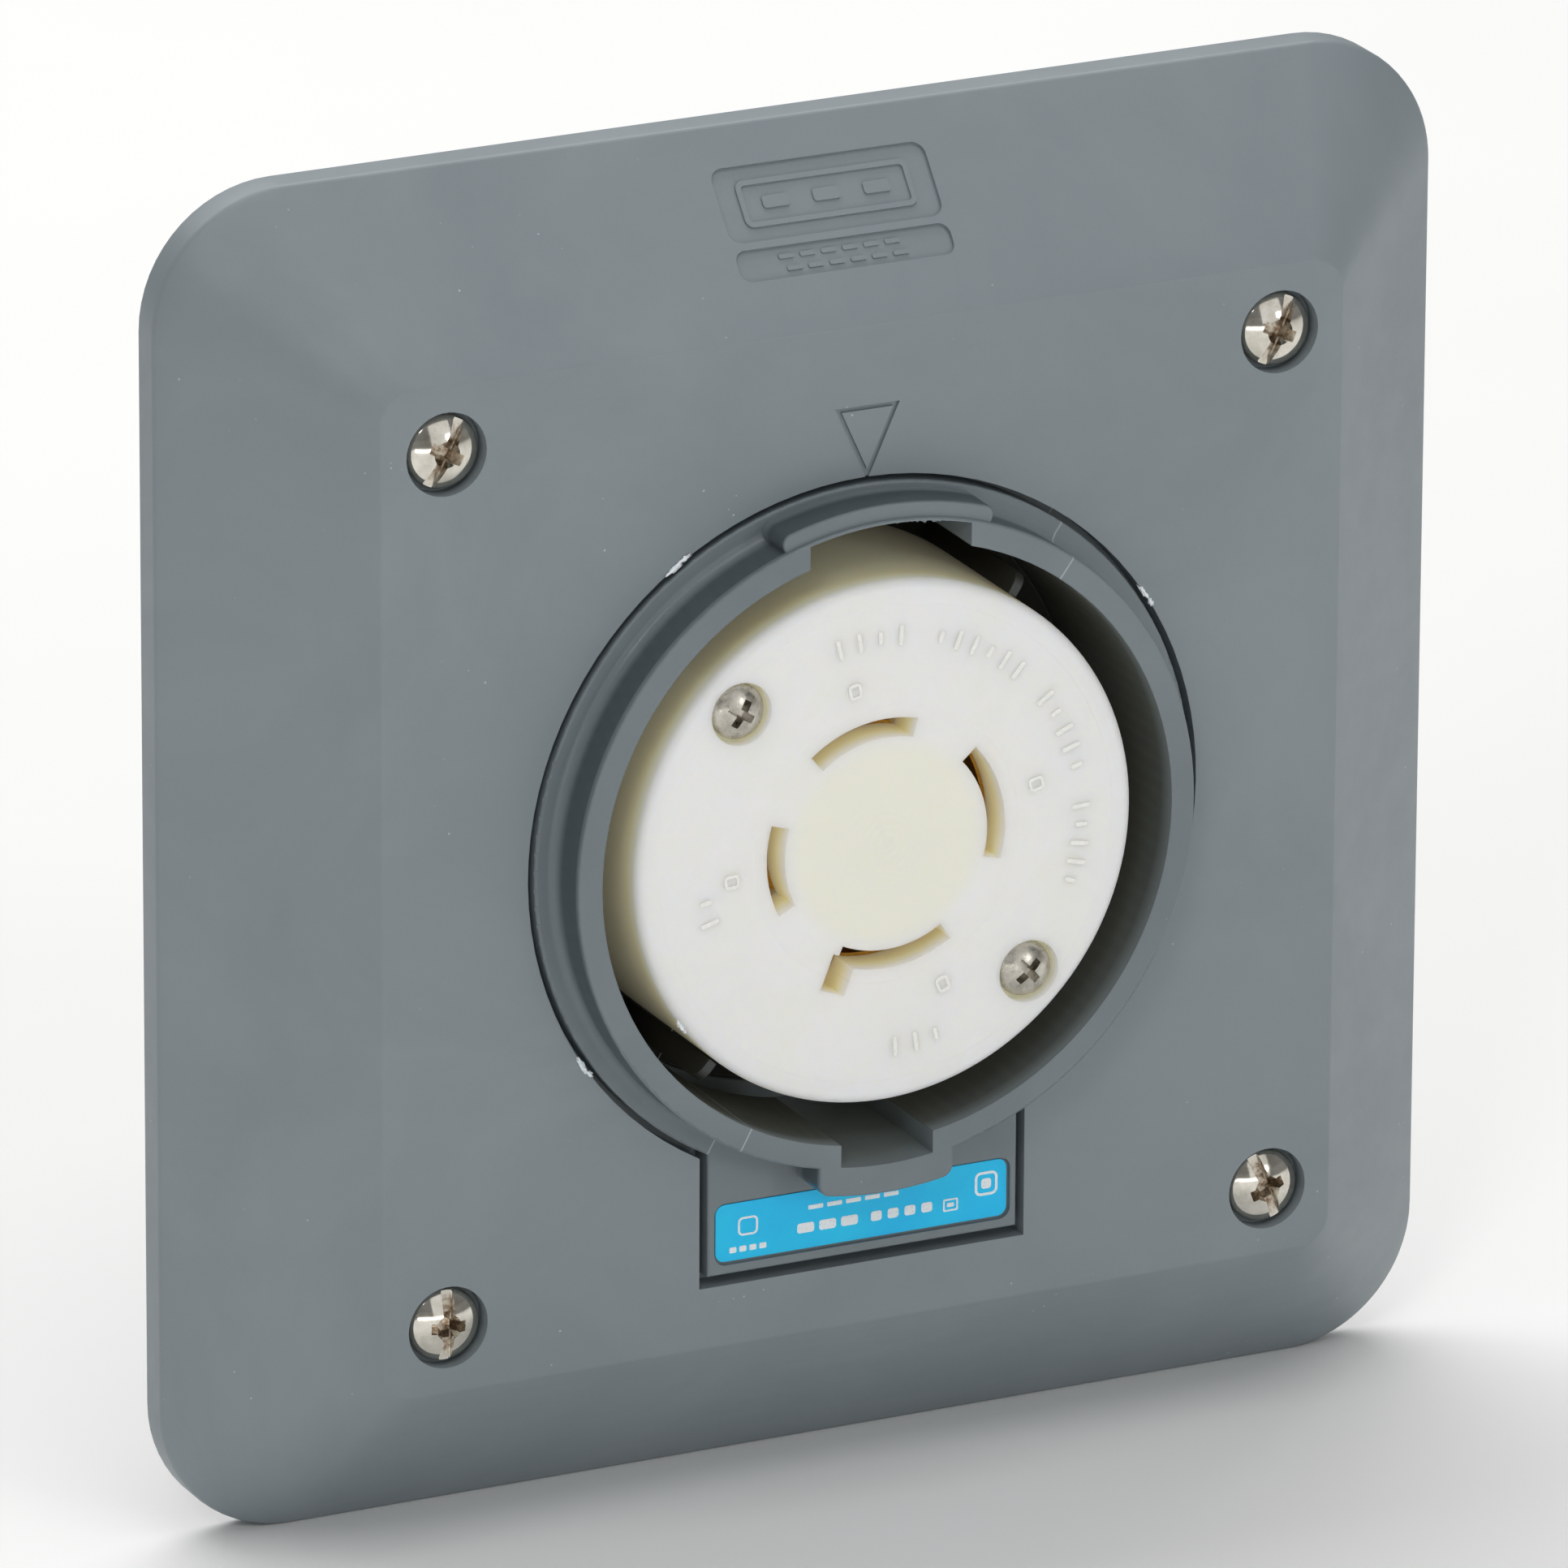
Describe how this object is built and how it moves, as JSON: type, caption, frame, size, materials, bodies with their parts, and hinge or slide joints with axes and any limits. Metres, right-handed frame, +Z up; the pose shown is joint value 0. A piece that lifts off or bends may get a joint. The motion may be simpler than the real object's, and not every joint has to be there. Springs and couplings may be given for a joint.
{
  "type": "locking receptacle with cover plate",
  "caption": "Flush-mounted round locking power receptacle with curved blade slots, inside a protective shroud on a dished square grey cover plate.",
  "frame": {"origin": "centre of the four mounting screws, on the wall face (the plane of the cover plate's rear rim)", "axes": "front faces -Y, +Y goes into the wall box, +Z is up, +X is to the right seen from the front"},
  "size_m": [0.127, 0.0532, 0.127],
  "materials": {
    "grey_plastic": "satin moulded thermoplastic",
    "housing_plastic": "satin moulded nylon",
    "label_film": "printed film",
    "white_nylon": "smooth moulded nylon",
    "black_plastic": "fine-textured moulding",
    "zinc_steel": "zinc plated",
    "zinc_screw": "zinc plated",
    "nickel_screw": "matte nickel",
    "chrome_screw": "polished plating",
    "retainer_nylon": "natural nylon",
    "brass": "bright brass",
    "brass_screw": "bright brass",
    "green_screw": "green dyed plating"
  },
  "bodies": {
    "root": {"cover_plate": "grey_plastic", "shroud_housing": "housing_plastic", "rating_label": "label_film", "receptacle_face": "white_nylon", "rear_body": "black_plastic", "rear_cover": "black_plastic", "retaining_strap": "zinc_steel", "ground_jumper": "brass", "jumper_rivet": "brass", "face_screws": "nickel_screw", "strap_screws": "zinc_screw", "rear_cover_screws": "zinc_screw", "line_x_contact": "brass", "line_y_contact": "brass", "line_z_contact": "brass", "ground_contact": "brass"},
    "screw_retainer_upper_left": {"screw_retainer_upper_left": "retainer_nylon"},
    "mounting_screw_upper_left": {"mounting_screw_upper_left": "chrome_screw"},
    "screw_retainer_upper_right": {"screw_retainer_upper_right": "retainer_nylon"},
    "mounting_screw_upper_right": {"mounting_screw_upper_right": "chrome_screw"},
    "screw_retainer_lower_left": {"screw_retainer_lower_left": "retainer_nylon"},
    "mounting_screw_lower_left": {"mounting_screw_lower_left": "chrome_screw"},
    "screw_retainer_lower_right": {"screw_retainer_lower_right": "retainer_nylon"},
    "mounting_screw_lower_right": {"mounting_screw_lower_right": "chrome_screw"},
    "line_x_terminal_screw": {"line_x_terminal_screw": "brass_screw"},
    "line_x_clamp": {"line_x_clamp": "zinc_steel"},
    "line_y_terminal_screw": {"line_y_terminal_screw": "brass_screw"},
    "line_y_clamp": {"line_y_clamp": "zinc_steel"},
    "line_z_terminal_screw": {"line_z_terminal_screw": "brass_screw"},
    "line_z_clamp": {"line_z_clamp": "zinc_steel"},
    "ground_terminal_screw": {"ground_terminal_screw": "green_screw"},
    "ground_clamp": {"ground_clamp": "zinc_steel"}
  },
  "joints": [
    {"name": "screw_retainer_upper_left_slide", "type": "slide", "parent": "root", "child": "screw_retainer_upper_left", "axis": [0, -1, 0], "range_m": [0, 0.00635]},
    {"name": "mounting_screw_upper_left_turn", "type": "hinge", "parent": "screw_retainer_upper_left", "child": "mounting_screw_upper_left", "pos_m": [-0.04127, 0, 0.04127], "axis": [0, -1, 0], "range_deg": [0, 2880]},
    {"name": "screw_retainer_upper_right_slide", "type": "slide", "parent": "root", "child": "screw_retainer_upper_right", "axis": [0, -1, 0], "range_m": [0, 0.00635]},
    {"name": "mounting_screw_upper_right_turn", "type": "hinge", "parent": "screw_retainer_upper_right", "child": "mounting_screw_upper_right", "pos_m": [0.04127, 0, 0.04127], "axis": [0, -1, 0], "range_deg": [0, 2880]},
    {"name": "screw_retainer_lower_left_slide", "type": "slide", "parent": "root", "child": "screw_retainer_lower_left", "axis": [0, -1, 0], "range_m": [0, 0.00635]},
    {"name": "mounting_screw_lower_left_turn", "type": "hinge", "parent": "screw_retainer_lower_left", "child": "mounting_screw_lower_left", "pos_m": [-0.04127, 0, -0.04127], "axis": [0, -1, 0], "range_deg": [0, 2880]},
    {"name": "screw_retainer_lower_right_slide", "type": "slide", "parent": "root", "child": "screw_retainer_lower_right", "axis": [0, -1, 0], "range_m": [0, 0.00635]},
    {"name": "mounting_screw_lower_right_turn", "type": "hinge", "parent": "screw_retainer_lower_right", "child": "mounting_screw_lower_right", "pos_m": [0.04127, 0, -0.04127], "axis": [0, -1, 0], "range_deg": [0, 2880]},
    {"name": "line_x_terminal_screw_turn", "type": "hinge", "parent": "root", "child": "line_x_terminal_screw", "pos_m": [0, 0.016, 0.024], "axis": [0, 0, -1], "range_deg": [0, 1260]},
    {"name": "line_x_clamp_slide", "type": "slide", "parent": "root", "child": "line_x_clamp", "axis": [0, 0, 1], "range_m": [0, 0.00278]},
    {"name": "line_y_terminal_screw_turn", "type": "hinge", "parent": "root", "child": "line_y_terminal_screw", "pos_m": [0.024, 0.016, 0], "axis": [-1, 0, 0], "range_deg": [0, 1260]},
    {"name": "line_y_clamp_slide", "type": "slide", "parent": "root", "child": "line_y_clamp", "axis": [1, 0, 0], "range_m": [0, 0.00278]},
    {"name": "line_z_terminal_screw_turn", "type": "hinge", "parent": "root", "child": "line_z_terminal_screw", "pos_m": [-0.024, 0.016, 0], "axis": [1, 0, 0], "range_deg": [0, 1260]},
    {"name": "line_z_clamp_slide", "type": "slide", "parent": "root", "child": "line_z_clamp", "axis": [-1, 0, 0], "range_m": [0, 0.00278]},
    {"name": "ground_terminal_screw_turn", "type": "hinge", "parent": "root", "child": "ground_terminal_screw", "pos_m": [0, 0.016, -0.024], "axis": [0, 0, 1], "range_deg": [0, 1260]},
    {"name": "ground_clamp_slide", "type": "slide", "parent": "root", "child": "ground_clamp", "axis": [0, 0, -1], "range_m": [0, 0.00278]}
  ],
  "couplings": [
    {"joint": "mounting_screw_upper_left_turn", "follows": "screw_retainer_upper_left_slide", "rad_per_m": 7915.8},
    {"joint": "mounting_screw_upper_right_turn", "follows": "screw_retainer_upper_right_slide", "rad_per_m": 7915.8},
    {"joint": "mounting_screw_lower_left_turn", "follows": "screw_retainer_lower_left_slide", "rad_per_m": 7915.8},
    {"joint": "mounting_screw_lower_right_turn", "follows": "screw_retainer_lower_right_slide", "rad_per_m": 7915.8},
    {"joint": "line_x_terminal_screw_turn", "follows": "line_x_clamp_slide", "rad_per_m": 7915.8},
    {"joint": "line_y_terminal_screw_turn", "follows": "line_y_clamp_slide", "rad_per_m": 7915.8},
    {"joint": "line_z_terminal_screw_turn", "follows": "line_z_clamp_slide", "rad_per_m": 7915.8},
    {"joint": "ground_terminal_screw_turn", "follows": "ground_clamp_slide", "rad_per_m": 7915.8}
  ]
}
